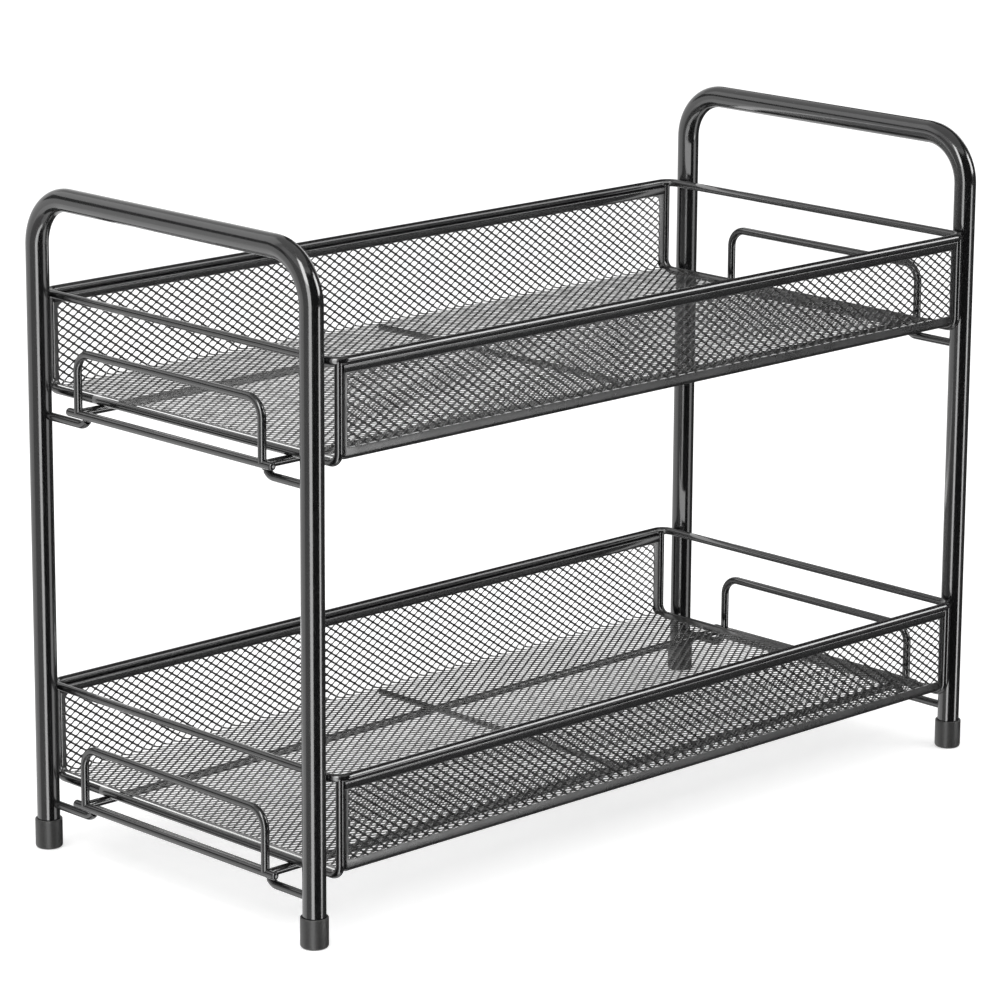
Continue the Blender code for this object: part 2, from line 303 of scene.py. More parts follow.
def lacquer(name, shiny, dull, peel, dust_and_sheen_amount):
    material = bpy.data.materials.new(name)
    material.use_nodes = True
    tree = material.node_tree
    shader = tree.nodes["Principled BSDF"]
    shader.inputs["IOR"].default_value = LACQUER_IOR
    flake = place_group(tree, metal_flake, {"Base": PITCH_BLACK, "Fleck": FLECK_GREY})
    bloom = place_group(tree, dust_and_sheen, {"Amount": dust_and_sheen_amount})
    gloss = place_group(tree, uneven_gloss, {"Shiny": shiny, "Dull": dull})
    skin = place_group(tree, orange_peel, {})
    bump = tree.nodes.new("ShaderNodeBump")
    bump.inputs["Strength"].default_value = peel
    bump.inputs["Distance"].default_value = BUMP_DEPTH
    tree.links.new(flake.outputs["Color"], bloom.inputs["Color"])
    tree.links.new(bloom.outputs["Color"], shader.inputs["Base Color"])
    tree.links.new(gloss.outputs["Roughness"], shader.inputs["Roughness"])
    tree.links.new(skin.outputs["Height"], bump.inputs["Height"])
    tree.links.new(bump.outputs["Normal"], shader.inputs["Normal"])
    return material


tube_coat = lacquer("tube_lacquer", shiny=0.12, dull=0.18, peel=0.15, dust_and_sheen_amount=0.02)
wire_coat = lacquer("wire_lacquer", shiny=0.14, dull=0.21, peel=0.15, dust_and_sheen_amount=0.02)
hem_coat = lacquer("hem_lacquer", shiny=0.14, dull=0.21, peel=0.15, dust_and_sheen_amount=0.02)
# The sheet takes the most: besides dust, this paints its up-facing strands paler, a painted sheen of
# light from above.
sheet_coat = lacquer("sheet_lacquer", shiny=0.24, dull=0.34, peel=0.15, dust_and_sheen_amount=0.12)
print("lacquers", [tube_coat.name, wire_coat.name, hem_coat.name, sheet_coat.name])

# %% [markdown]
# The foot caps are moulded rubber. Rubber has little gloss, a fine grain from the mould, and a
# paler, scuffed band where it meets the worktop. The band is placed by height alone, since the
# caps are the only pieces that wear this material and all of them stand on Z = 0.


# %% Moulded rubber
def build_rubber():
    material = bpy.data.materials.new("cap_rubber")
    material.use_nodes = True
    tree = material.node_tree
    shader = tree.nodes["Principled BSDF"]
    place = tree.nodes.new("ShaderNodeTexCoord").outputs["Object"]
    grain = add_noise(tree, place, detail=3.0)
    grain.inputs["Scale"].default_value = 2600.0
    bump = tree.nodes.new("ShaderNodeBump")
    bump.inputs["Strength"].default_value = 0.25
    bump.inputs["Distance"].default_value = BUMP_DEPTH
    tree.links.new(grain.outputs["Fac"], bump.inputs["Height"])
    axes = tree.nodes.new("ShaderNodeSeparateXYZ")
    tree.links.new(place, axes.inputs["Vector"])
    low_down = add_range(tree, axes.outputs["Z"], 0.0016, 0.0)
    patches = add_noise(tree, place, detail=4.0, roughness=0.7)
    patches.inputs["Scale"].default_value = 900.0
    scuff = add_math(tree, "MULTIPLY", low_down, patches.outputs["Fac"])
    mottle = add_range(tree, patches.outputs["Fac"], 0.3, 0.7, 0.0, 0.25)
    worn = add_math(tree, "ADD", scuff, mottle)
    tone = tree.nodes.new("ShaderNodeMix")
    tone.data_type = "RGBA"
    tone.inputs["A"].default_value = (0.026, 0.026, 0.026, 1.0)
    tone.inputs["B"].default_value = (0.085, 0.084, 0.082, 1.0)
    tree.links.new(worn, tone.inputs["Factor"])
    bloom = place_group(tree, dust_and_sheen, {"Amount": 0.10})
    tree.links.new(tone.outputs["Result"], bloom.inputs["Color"])
    tree.links.new(bloom.outputs["Color"], shader.inputs["Base Color"])
    rough = add_range(tree, patches.outputs["Fac"], 0.3, 0.7, 0.36, 0.50)
    tree.links.new(rough, shader.inputs["Roughness"])
    tree.links.new(bump.outputs["Normal"], shader.inputs["Normal"])
    return material


cap_rubber = build_rubber()
print("rubber", cap_rubber.name)

# %% [markdown]
# ## Tubes and wires
#
# Every bar of the rack is one round section swept along a path of straight runs and bends. The
# path helper turns a short list of corners into true arcs, as a bending wheel does. A short
# straight piece on either side of each arc keeps the smooth shading of the bend off the long runs.
# The step of an arc is fine enough that a highlight runs round it without a kink.


# %% Paths with rounded corners
BEND_STEP = math.radians(3)
SUPPORT = 0.0008


def corner_arc(before, corner, after, radius):
    into = (corner - before).normalized()
    out_of = (after - corner).normalized()
    turn = into.angle(out_of)
    start = corner - into * radius * math.tan(turn / 2)
    inward = (out_of - into * into.dot(out_of)).normalized()
    centre = start + inward * radius
    steps = max(3, math.ceil(turn / BEND_STEP))
    angles = [turn * step / steps for step in range(steps + 1)]
    arc = [centre + radius * (into * math.sin(a) - inward * math.cos(a)) for a in angles]
    return [arc[0] - into * SUPPORT, *arc, arc[-1] + out_of * SUPPORT]


def open_path(corners, radii):
    path = [corners[0]]
    for before, corner, after, radius in zip(corners, corners[1:], corners[2:], radii):
        path += corner_arc(before, corner, after, radius)
    return path + [corners[-1]]


def closed_path(corners, radius):
    path = []
    for index, corner in enumerate(corners):
        after = corners[(index + 1) % len(corners)]
        path += corner_arc(corners[index - 1], corner, after, radius)
    return path


def corners_in_x_plane(x, places):
    return [Vector((x, y, z)) for y, z in places]


square = corners_in_x_plane(0.0, [(0, 0), (0, 1), (1, 1)])
print("a path with one bend has", len(open_path(square, [0.1])), "points")

# %% [markdown]
# The sweep is a curve with a bevel depth, and each point's radius can narrow it. Cylinders joined by
# pieces of a torus would look the same but leave a seam at every bend. A free end narrows to a
# dome, the way a cropped and tumbled wire end does. An end that is welded stays square, and runs on
# to the middle of the wire or tube that it meets, so no gap shows.


# %% Sweep a round section along a path
TUBE_SIDES = 64
WIRE_SIDES = 28
END_DOME = 0.55
END_FLAT = 0.35
DOME_ANGLES = (0, 15, 35, 60, 90)


def dome_rings(tip, inward, radius):
    """Places and widths from the flat tip of a free end to where the wire is full."""
    places = []
    widths = []
    for angle in np.radians(DOME_ANGLES):
        places.append(tip + inward * END_DOME * radius * (1 - math.cos(angle)))
        widths.append(END_FLAT + (1 - END_FLAT) * math.sin(angle))
    return places + [places[-1] + inward * SUPPORT], widths + [1.0]


def sweep(name, path, radius, sides, closed=False, free_ends=False):
    curve = bpy.data.curves.new(name, "CURVE")
    curve.dimensions = "3D"
    curve.bevel_depth = radius
    curve.bevel_resolution = sides // 2 - 2
    curve.use_fill_caps = not closed
    widths = [1.0] * len(path)
    if free_ends:
        head, head_widths = dome_rings(path[0], (path[1] - path[0]).normalized(), radius)
        tail, tail_widths = dome_rings(path[-1], (path[-2] - path[-1]).normalized(), radius)
        widths = [*head_widths, *widths[1:-1], *reversed(tail_widths)]
        path = [*head, *path[1:-1], *reversed(tail)]
    spline = curve.splines.new("POLY")
    spline.points.add(len(path) - 1)
    for point, place, width in zip(spline.points, path, widths):
        point.co = (*place, 1.0)
        point.radius = width
    spline.use_cyclic_u = closed
    spline.use_smooth = True
    return curve


print("a free end is domed over", round(END_DOME * WIRE_R * 1000, 2), "mm")

# %% [markdown]
# Every piece is handed over in the same way. It rides on a body, so it moves with that body's joint.
# It takes the place of the solid that it was modelled on, and its coat goes by one slot name.


# %% Show a finished piece
def show(name, data, material, body, node):
    piece = bpy.data.objects.new(name, data)
    bpy.context.scene.collection.objects.link(piece)
    data.materials.append(material)
    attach(piece, body)
    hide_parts(node)


# %% [markdown]
# ## End frames
#
# One length of steel tube is bent twice, into an arch whose legs reach down into the caps. As a
# sweep it needs four corners and one radius. The legs are open lines, so nothing closes the arch
# at the bottom but the caps.

# %% Bend the two end frames
FRAME_BEND_R = 0.024


def arch_corners(x, reach, tip, turn):
    """Corners of an arch, or of a U: both tips at one height and the level run at another."""
    return corners_in_x_plane(x, [(-reach, tip), (-reach, turn), (reach, turn), (reach, tip)])


for side, sign in SIDES:
    arch = arch_corners(sign * LEG_X, LEG_Y, FRAME_FOOT_Z, FRAME_TOP_Z)
    tube = sweep(f"{side}_frame_tube", open_path(arch, [FRAME_BEND_R] * 2), TUBE_R, TUBE_SIDES)
    show(f"{side}_frame_tube", tube, tube_coat, "end_frames", f"{side}_end_frame")
    print("bent", side, "end frame,", len(tube.splines[0].points), "rings")

# %% [markdown]
# ## Hangers
#
# A hanger is a wire welded between the two legs of a frame. Its middle run is lifted by a few
# millimetres, so that the basket's runners drop in beside the bends and can't slide out. The low
# bends are soft and the high ones tight. The wire meets each leg beside the leg's middle, so its
# square end runs on until the far edge of the wire has reached the tube.


# %% The hanger's bends follow from where the runner touches it
HANGER_LOW_BEND_R = 0.006
HANGER_HIGH_BEND_R = 0.0035
HANGER_SLOPE = math.radians(52)


def hanger_corners(x, node, runner_z):
    low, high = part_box(node)
    end_z = low.z + WIRE_R
    middle_z = high.z - WIRE_R
    pitch = 2 * WIRE_R + FIT_GAP
    touch_y = RUNNER_Y - pitch * math.sin(HANGER_SLOPE)
    touch_z = runner_z - pitch * math.cos(HANGER_SLOPE)
    low_y = touch_y + (touch_z - end_z) / math.tan(HANGER_SLOPE)
    high_y = touch_y - (middle_z - touch_z) / math.tan(HANGER_SLOPE)
    far_edge = abs(LEG_X - abs(x)) + WIRE_R
    weld_y = LEG_Y - math.sqrt(TUBE_R**2 - far_edge**2) + FIT_GAP
    half = [(-weld_y, end_z), (-low_y, end_z), (-high_y, middle_z)]
    mirrored = [(-y, z) for y, z in reversed(half)]
    return corners_in_x_plane(x, half + mirrored)


HANGER_BENDS = (HANGER_LOW_BEND_R, HANGER_HIGH_BEND_R, HANGER_HIGH_BEND_R, HANGER_LOW_BEND_R)
for tier in TIERS:
    low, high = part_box(f"{tier}_front_runner")
    for side, sign in SIDES:
        node = f"{side}_{tier}_hanger"
        hanger_low, hanger_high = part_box(node)
        x = (hanger_low.x + hanger_high.x) / 2
        path = open_path(hanger_corners(x, node, (low.z + high.z) / 2), HANGER_BENDS)
        wire = sweep(f"{side}_{tier}_hanger_wire", path, WIRE_R, WIRE_SIDES)
        show(f"{side}_{tier}_hanger_wire", wire, wire_coat, "end_frames", node)
print("hangers bent:", len(TIERS) * len(SIDES))

# %% [markdown]
# ## Basket wires
#
# The rim is the only closed wire. The rest are straight lengths or open bends, all 4 mm but for
# the thinner wire across the middle, and each is a piece of its own. A rim could be joined from
# four wires, but its corners are bent and not mitred, so one closed path is the truer model.


# %% Rims
RIM_CORNER_R = 0.007


def basket_of(tier):
    return f"{tier}_basket"


for tier in TIERS:
    low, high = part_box(f"{tier}_rim_wire")
    rim_x = LEG_X - TUBE_R - FIT_GAP - WIRE_R
    rim_y = high.y - WIRE_R
    z = (low.z + high.z) / 2
    places = [(rim_x, -rim_y), (rim_x, rim_y), (-rim_x, rim_y), (-rim_x, -rim_y)]
    ring = closed_path([Vector((px, py, z)) for px, py in places], RIM_CORNER_R)
    wire = sweep(f"{tier}_rim", ring, WIRE_R, WIRE_SIDES, closed=True)
    show(f"{tier}_rim", wire, wire_coat, basket_of(tier), f"{tier}_rim_wire")
    print(tier, "rim at", round(z, 4), "half width", round(rim_y, 4))


# %% [markdown]
# A straight wire needs two ends and a radius, and the solid's box holds all three. The runners are
# welded at both ends and run on into the end bars. The end bars and the cross wire end free, with
# cropped tips. The cross wire lies between the sheet and the runners, so it fills the fit gaps
# above and below, and it reaches from the front runner to the rear fold.

# %% Straight wires
WELD_REACH = FIT_GAP + WIRE_R
CROSS_WELD = 0.00025


def straight_between(node, extra=0.0):
    """The two ends of a straight wire, each run on by extra, and the wire's radius."""
    low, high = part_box(node)
    middle = (low + high) / 2
    axis = 0 if high.x - low.x > high.y - low.y else 1
    ends = [middle.copy(), middle.copy()]
    ends[0][axis] = low[axis] - extra
    ends[1][axis] = high[axis] + extra
    return ends, (high.z - low.z) / 2


def show_basket_wire(name, node, tier, wire):
    show(name, wire, wire_coat, basket_of(tier), node)


for tier in TIERS:
    for depth, _ in DEPTHS:
        node = f"{tier}_{depth}_runner"
        ends, radius = straight_between(node, WELD_REACH)
        show_basket_wire(f"{node}_wire", node, tier, sweep(node, ends, radius, WIRE_SIDES))
    node = f"{tier}_cross_wire"
    ends, radius = straight_between(node)
    ends[1].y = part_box(f"{tier}_mesh_sheet")[1].y - FOLD_R
    wire = sweep(node, ends, radius + CROSS_WELD, WIRE_SIDES, free_ends=True)
    show_basket_wire(f"{node}_round", node, tier, wire)
    loose = [f"{tier}_left_end_bar", f"{tier}_right_end_bar"]
    for node in loose:
        ends, radius = straight_between(node)
        wire = sweep(node, ends, radius, WIRE_SIDES, free_ends=True)
        show_basket_wire(f"{node}_round", node, tier, wire)
    print(tier, "straight wires:", len(DEPTHS) + 1 + len(loose))

# %% [markdown]
# The end wires and the guard loops are the same shape turned over: a U under the sheet's end, and
# an arch over the end bar. Both are bent from three straight runs and welded at their tips, so the
# arch of the end frames serves again.


# %% End wires and guard loops
END_WIRE_BEND_R = 0.0055
LOOP_BEND_R = 0.009


def bend_basket_wire(node, tier, tip, turn, bend_radius):
    low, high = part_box(node)
    corners = arch_corners((low.x + high.x) / 2, high.y - WIRE_R, tip, turn)
    wire = sweep(node, open_path(corners, [bend_radius] * 2), WIRE_R, WIRE_SIDES)
    show_basket_wire(f"{node}_bent", node, tier, wire)


for tier in TIERS:
    for side, _ in SIDES:
        node = f"{tier}_{side}_end_wire"
        low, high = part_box(node)
        tip, turn = high.z + WELD_REACH, low.z + WIRE_R
        bend_basket_wire(node, tier, tip, turn, END_WIRE_BEND_R)
        node = f"{tier}_{side}_guard_loop"
        low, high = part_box(node)
        tip, turn = low.z - WELD_REACH, high.z - WIRE_R
        bend_basket_wire(node, tier, tip, turn, LOOP_BEND_R)
    print(tier, "end wires and guard loops bent")

# %% [markdown]
# ## Hems
#
# A strip of thin steel is folded over the sheet's top edge so that no cut strand is left open.
# Its section is a channel with a rounded crown, drawn once and extruded along the wall. A box with
# a bevel would be quicker, but the hem is open below and grips the sheet, so it is drawn that way.


# %% Fold the hems
HEM_T = 0.0006
HEM_PINCH = 0.00028
HEM_FOOT_R = 0.00025
HEM_CROWN = 0.0007
HEM_RISE = FIT_GAP + 0.0002
CROWN_STEPS = 14
HEM_SHARP = math.radians(40)


def hem_section(half_width, height):
    """Outline of the channel, from the outer foot over the crown and back along the inside."""
    inner = half_width - HEM_T
    foot = half_width - HEM_PINCH
    outline = [(-foot + HEM_FOOT_R, -height), (-foot, -height + HEM_FOOT_R)]
    for step in range(CROWN_STEPS + 1):
        angle = math.pi - math.pi * step / CROWN_STEPS
        outline.append((half_width * math.cos(angle), HEM_CROWN * (math.sin(angle) - 1)))
    outline += [(foot, -height + HEM_FOOT_R), (foot - HEM_FOOT_R, -height)]
    outline.append((inner - HEM_PINCH, -height))
    for step in range(CROWN_STEPS + 1):
        angle = math.pi * step / CROWN_STEPS
        outline.append((inner * math.cos(angle), HEM_CROWN * (math.sin(angle) - 1) / 2 - HEM_T))
    outline.append((-inner + HEM_PINCH, -height))
    return outline


def extrude_along_x(name, outline, x_low, x_high, y, z):
    form = bmesh.new()
    rings = []
    for x in (x_low, x_high):
        rings.append([form.verts.new((x, y + across, z + up)) for across, up in outline])
    near, far = rings
    count = len(outline)
    for index in range(count):
        after = (index + 1) % count
        form.faces.new((near[index], near[after], far[after], far[index]))
    form.faces.new(list(reversed(near)))
    form.faces.new(far)
    bmesh.ops.recalc_face_normals(form, faces=form.faces)
    mesh = bpy.data.meshes.new(name)
    form.to_mesh(mesh)
    form.free()
    mesh.shade_smooth()
    mesh.set_sharp_from_angle(angle=HEM_SHARP)
    return mesh


for tier in TIERS:
    for depth, _ in DEPTHS:
        node = f"{tier}_{depth}_hem"
        low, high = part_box(node)
        top = high.z + HEM_RISE
        section = hem_section((high.y - low.y) / 2, top - low.z)
        mesh = extrude_along_x(f"{node}_strip", section, low.x, high.x, (low.y + high.y) / 2, top)
        show(f"{node}_strip", mesh, hem_coat, basket_of(tier), node)
print("hems folded:", len(TIERS) * len(DEPTHS))

# %% [markdown]
# ## The expanded sheet
#
# Expanded metal starts as a solid sheet. A die cuts short staggered slits and pulls each row open
# into a diamond, so the strands are never woven: they meet in flat bonds, and each strand ends up
# tilted, one edge up and the other down. A picture of diamonds on a plain sheet would cost nothing,
# but it would show no thickness at the holes' edges. So the lattice is built in the flat, each
# strand gets a crest and two thin edges, and the flat pattern is then folded round the basket's
# section, as the maker does it.
#
# In the flat, x runs along the rack and v runs from the front edge, down the front wall, across
# the floor and up the rear wall.

# %% Sizes of the pattern
CELL_LENGTH = 0.0064
CELL_HEIGHT = 0.0043
STRAND_WIDTH = 0.00094
STRAND_CREST = 0.00018
END_BORDER = 0.0024
TOP_BORDER = 0.0027

print("cells of", CELL_LENGTH, "by", CELL_HEIGHT, "with strands of", STRAND_WIDTH)

# %% [markdown]
# The basket's section is a U with two tight folds. Folding a flat pattern is a change of
# coordinates: x stays, v says how far along the U a point lies, and the point's height off the flat
# sheet goes along the U's normal there.


# %% The section that the sheet is folded to
class SheetSection:
    """Maps v, the distance along the folded sheet, to a place and an inward normal."""

    def __init__(self, tier):
        low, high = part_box(f"{tier}_mesh_sheet")
        self.half_length = high.x
        self.wall_y = high.y - SHEET_T / 2
        self.top_z = high.z
        self.floor_z = low.z + SHEET_T / 2
        self.wall = self.top_z - self.floor_z - FOLD_R
        self.fold = FOLD_R * math.pi / 2
        self.floor = 2 * (self.wall_y - FOLD_R)
        self.length = 2 * self.wall + 2 * self.fold + self.floor

    def place(self, v):
        """(y, z) and the normal (y, z) for each v, as arrays."""
        v = np.asarray(v, float)
        mirror = v > self.length / 2
        s = np.where(mirror, self.length - v, v)
        angle = np.clip((s - self.wall) / FOLD_R, 0, math.pi / 2)
        down = np.minimum(s, self.wall)
        along = np.maximum(s - self.wall - self.fold, 0)
        y = -self.wall_y + FOLD_R * (1 - np.cos(angle)) + along
        z = self.top_z - down - FOLD_R * np.sin(angle)
        normal_y = np.cos(angle)
        normal_z = np.sin(angle)
        flip = np.where(mirror, -1.0, 1.0)
        return y * flip, z, normal_y * flip, normal_z


for tier in TIERS:
    section = SheetSection(tier)
    print(tier, "flat sheet", round(2 * section.half_length, 4), "by", round(section.length, 4))

# %% [markdown]
# The photographed basket has no slits along its front fold. A narrow plain band runs there, and
# draws one clean line along the bottom of the front wall. At the rear fold the cells run on through
# the bend. So the slits lie in two panels: the front wall, and the floor with the rear wall.


# %% Where the sheet is slit
def panel_plan(section):
    """For each panel: the v that it starts at, and how many half cells it holds."""
    step = CELL_HEIGHT / 2
    front = 2 * int((section.wall - TOP_BORDER) / CELL_HEIGHT)
    end = section.length - TOP_BORDER
    rest = int((end - section.wall - section.fold) / step)
    return [(TOP_BORDER, front), (end - rest * step, rest)]


print("half cells up the front wall, and across the floor and rear wall:")
print([count for _, count in panel_plan(section)])

# %% [markdown]
# The pattern is a chessboard of half cells: bonds on one colour and openings on the other. Each
# bond keeps one pair of crest points, which all the openings round it share, so the strands meet
# there without a seam.


# %% Lattice of bonds, and the openings between them
class Lattice:
    """The flat pattern as points (x, v, lift) and faces. lift is the height off the mid surface."""

    def __init__(self, section):
        self.section = section
        self.columns = 2 * round(2 * (section.half_length - END_BORDER) / CELL_LENGTH)
        self.step_x = 2 * (section.half_length - END_BORDER) / self.columns
        self.step_v = CELL_HEIGHT / 2
        self.rows = []
        self.panels = []
        for start, count in panel_plan(section):
            if self.rows:
                self.rows.append(None)
            first = len(self.rows)
            self.rows += [start + self.step_v * step for step in range(count + 1)]
            self.panels.append((first, first + count))
        self.points = []
        self.faces = []
        self.bonds = {}
        self.fold_ends = {}
        self.inset = STRAND_WIDTH / 2
        lean = math.atan2(self.step_v, self.step_x)
        self.open_x = self.step_x - self.inset / math.sin(lean)
        self.open_v = self.step_v - self.inset / math.cos(lean)

    def x_of(self, i):
        return -self.section.half_length + END_BORDER + i * self.step_x

    def add(self, x, v, lift):
        self.points.append((x, v, lift))
        return len(self.points) - 1

    def pair(self, x, v, lift, shift=0.0):
        """A point on each side of the sheet: the inner one, then the outer one."""
        return self.add(x, v, shift + lift), self.add(x, v, shift - lift)

    def bond(self, i, j):
        """The pair of crest points of the bond i half cells along and j rows of half cells up."""
        if (i, j) not in self.bonds:
            self.bonds[(i, j)] = self.pair(self.x_of(i), self.rows[j], STRAND_CREST)
        return self.bonds[(i, j)]

    def opening(self, i, j, rim, tilt):
        """One ring of faces on each side, from the strands' crests to the opening's edge.

        rim is a list of (corner of the opening, bond that it belongs to), going round. Where two
        corners share a bond, the face between them is the triangle of that bond's flat.
        """
        inner = []
        for (dx, dv), _ in rim:
            inner.append(self.add(self.x_of(i) + dx, self.rows[j] + dv, -tilt * dv / self.open_v))
        outer = [self.bond(i + di, j + dj) for _, (di, dj) in rim]
        count = len(rim)
        for index in range(count):
            after = (index + 1) % count
            top, bottom = outer[index]
            next_top, next_bottom = outer[after]
            edge, next_edge = inner[index], inner[after]
            if outer[index] == outer[after]:
                self.faces.append((top, next_edge, edge))
                self.faces.append((bottom, edge, next_edge))
            else:
                self.faces.append((top, next_top, next_edge, edge))
                self.faces.append((bottom, edge, next_edge, next_bottom))

    def strip(self, ring, next_ring):
        """Faces on both sides between two rings of pairs that run the same way."""
        for (a, b), (c, d), (e, f), (g, h) in zip(ring, ring[1:], next_ring, next_ring[1:]):
            self.faces.append((a, c, g, e))
            self.faces.append((b, f, h, d))


print("the lattice is", Lattice(section).columns // 2, "cells long")

# %% [markdown]
# Most openings are whole diamonds. Those on the edge of a panel are cut in half, so that the plain
# steel beside them starts on a straight line. No die cuts evenly, so each opening's tilt differs a
# little from the next one's.


# %% Cut the openings, panel by panel
STRAND_TILT = 0.00023
TILT_SPREAD = 0.00006
BOND_FLAT = 0.18
EAST, WEST, NORTH, SOUTH = (1, 0), (-1, 0), (0, 1), (0, -1)


def opening_shapes(lattice):
    """Corners of a whole diamond, and of the half diamonds along the four borders."""
    ox, ov, inset = lattice.open_x, lattice.open_v, lattice.inset
    flat_x = ox * BOND_FLAT
    flat_v = ov * (1 - BOND_FLAT)
    cut_x = ox * (1 - inset / ov)
    cut_v = ov * (1 - inset / ox)
    upper_half = [((flat_x, flat_v), NORTH), ((-flat_x, flat_v), NORTH)]
    lower_half = [((-flat_x, -flat_v), SOUTH), ((flat_x, -flat_v), SOUTH)]
    return {
        "whole": [((ox, 0), EAST), *upper_half, ((-ox, 0), WEST), *lower_half],
        "first_row": [((cut_x, inset), EAST), *upper_half, ((-cut_x, inset), WEST)],
        "last_row": [((-cut_x, -inset), WEST), *lower_half, ((cut_x, -inset), EAST)],
        "first_column": [((ox, 0), EAST), ((inset, cut_v), NORTH), ((inset, -cut_v), SOUTH)],
        "last_column": [((-inset, cut_v), NORTH), ((-ox, 0), WEST), ((-inset, -cut_v), SOUTH)],
    }


def cut_panel(lattice, first, last, chance):
    shapes = opening_shapes(lattice)
    for j in range(first, last + 1):
        for i in range(lattice.columns + 1):
            at_end = i in (0, lattice.columns)
            if (i + j) % 2 == 0 or (at_end and j in (first, last)):
                continue
            if j in (first, last):
                shape = "first_row" if j == first else "last_row"
            elif at_end:
                shape = "first_column" if i == 0 else "last_column"
            else:
                shape = "whole"
            tilt = STRAND_TILT + chance.uniform(-TILT_SPREAD, TILT_SPREAD)
            lattice.opening(i, j, shapes[shape], tilt)


print("kinds of opening:", sorted(opening_shapes(Lattice(section))))

# %% [markdown]
# The front fold is bent in small steps, so that the light runs along the plain band without facets.


# %% Bend the uncut band
FOLD_RINGS = 9


def bend_band(lattice, before, after):
    """The plain band from row before to row after, round the fold between them."""
    columns = range(0, lattice.columns + 1, 2)
    start, fold = lattice.section.wall, lattice.section.fold
    rings = [[lattice.bond(i, before) for i in columns]]
    for v in np.linspace(start, start + fold, FOLD_RINGS):
        rings.append([lattice.pair(lattice.x_of(i), v, STRAND_CREST) for i in columns])
    rings.append([lattice.bond(i, after) for i in columns])
    for ring, next_ring in zip(rings, rings[1:]):
        lattice.strip(ring, next_ring)
    lattice.fold_ends[before] = [(ring[0], ring[-1]) for ring in rings[1:-1]]


print("the front fold is bent in", FOLD_RINGS - 1, "steps")

# %% [markdown]
# Round the whole pattern the sheet keeps a plain border, which the hems grip. At its two open ends
# it is tucked a little inward, beside the end wires. Two rings of points round its edge off.


# %% The uncut border round the whole pattern
def side_pairs(lattice, side):
    """The pairs of points down one end of the pattern: side 0 is the left, and 1 the right."""
    i = side * lattice.columns
    last = len(lattice.rows) - 1
    pairs = []
    for j, v in enumerate(lattice.rows):
        if v is not None and (j % 2 == 0 or j == last):
            pairs.append(lattice.bond(i, j))
        pairs += [ends[side] for ends in lattice.fold_ends.get(j, [])]
    return pairs


def outline_pairs(lattice):
    """Every pair round the outside, with the way out from it along x and along v."""
    last_i, last_j = lattice.columns, len(lattice.rows) - 1
    left, right = side_pairs(lattice, 0), side_pairs(lattice, 1)
    low = [lattice.bond(i, 0) for i in range(2, last_i, 2)]
    high = [lattice.bond(i, last_j) for i in range(2 - last_j % 2, last_i, 2)]
    outline = [(left[0], -1, -1)]
    outline += [(pair, 0, -1) for pair in low]
    outline += [(right[0], 1, -1)]
    outline += [(pair, 1, 0) for pair in right[1:-1]]
    outline += [(right[-1], 1, 1)]
    outline += [(pair, 0, 1) for pair in reversed(high)]
    outline += [(left[-1], -1, 1)]
    outline += [(pair, -1, 0) for pair in reversed(left[1:-1])]
    return outline


def fill_corners(lattice):
    """Where the last row has no bond in the corners, a triangle closes each."""
    last_i, last_j = lattice.columns, len(lattice.rows) - 1
    if last_j % 2 == 0:
        return
    for i, beside in ((0, 1), (last_i, last_i - 1)):
        corner = [lattice.bond(*place) for place in ((i, last_j - 1), (beside, last_j), (i, last_j))]
        if i > 0:
            corner = [corner[0], corner[2], corner[1]]
        lattice.faces.append(tuple(top for top, _ in corner))
        lattice.faces.append(tuple(bottom for _, bottom in reversed(corner)))


END_TUCK = 0.0005
BORDER_RINGS = ((0.85, STRAND_CREST), (1.0, STRAND_CREST * 0.4))


def add_border(lattice):
    """A flat band outside the lattice that ends in a rounded edge."""
    outline = outline_pairs(lattice)
    rings = [[pair for pair, _, _ in outline]]
    for share, lift in BORDER_RINGS:
        ring = []
        for (top, _), out_x, out_v in outline:
            x, v, _ = lattice.points[top]
            x += out_x * END_BORDER * share
            v += out_v * TOP_BORDER * share
            tuck = END_TUCK * share if out_x else 0.0
            ring.append(lattice.pair(x, v, lift, tuck))
        rings.append(ring)
    rings = [ring + ring[:1] for ring in rings]
    for ring, next_ring in zip(rings[1:], rings):
        lattice.strip(ring, next_ring)
    edge = rings[-1]
    for (a, b), (c, d) in zip(edge, edge[1:]):
        lattice.faces.append((a, b, d, c))


print("border of", END_BORDER, "at the ends and", TOP_BORDER, "along the top")

# %% [markdown]
# The strands that cross the rear fold have no points of their own in the bend. The flat pattern is
# sliced there into the same small steps before it is folded.


# %% Fold the pattern into a basket
SLICE_SNAP = 1e-7
STRAND_SHARP = math.radians(45)


def slice_rear_fold(section, mesh):
    form = bmesh.new()
    form.from_mesh(mesh)
    end = section.length - section.wall
    for v in np.linspace(end - section.fold, end, FOLD_RINGS):
        bmesh.ops.bisect_plane(
            form,
            geom=form.verts[:] + form.edges[:] + form.faces[:],
            plane_co=(0, v, 0),
            plane_no=(0, 1, 0),
            dist=SLICE_SNAP,
        )
    form.to_mesh(mesh)
    form.free()


def fold_sheet(name, tier):
    section = SheetSection(tier)
    lattice = Lattice(section)
    chance = random.Random(tier)
    for first, last in lattice.panels:
        cut_panel(lattice, first, last, chance)
    bend_band(lattice, lattice.panels[0][1], lattice.panels[1][0])
    fill_corners(lattice)
    add_border(lattice)
    mesh = bpy.data.meshes.new(name)
    mesh.from_pydata(lattice.points, [], lattice.faces)
    slice_rear_fold(section, mesh)
    flat = np.empty(3 * len(mesh.vertices))
    mesh.vertices.foreach_get("co", flat)
    x, v, lift = flat.reshape(-1, 3).T
    y, z, normal_y, normal_z = section.place(v)
    places = np.column_stack((x, y + lift * normal_y, z + lift * normal_z))
    mesh.vertices.foreach_set("co", places.ravel())
    mesh.shade_smooth()
    mesh.set_sharp_from_angle(angle=STRAND_SHARP)
    return mesh, lattice


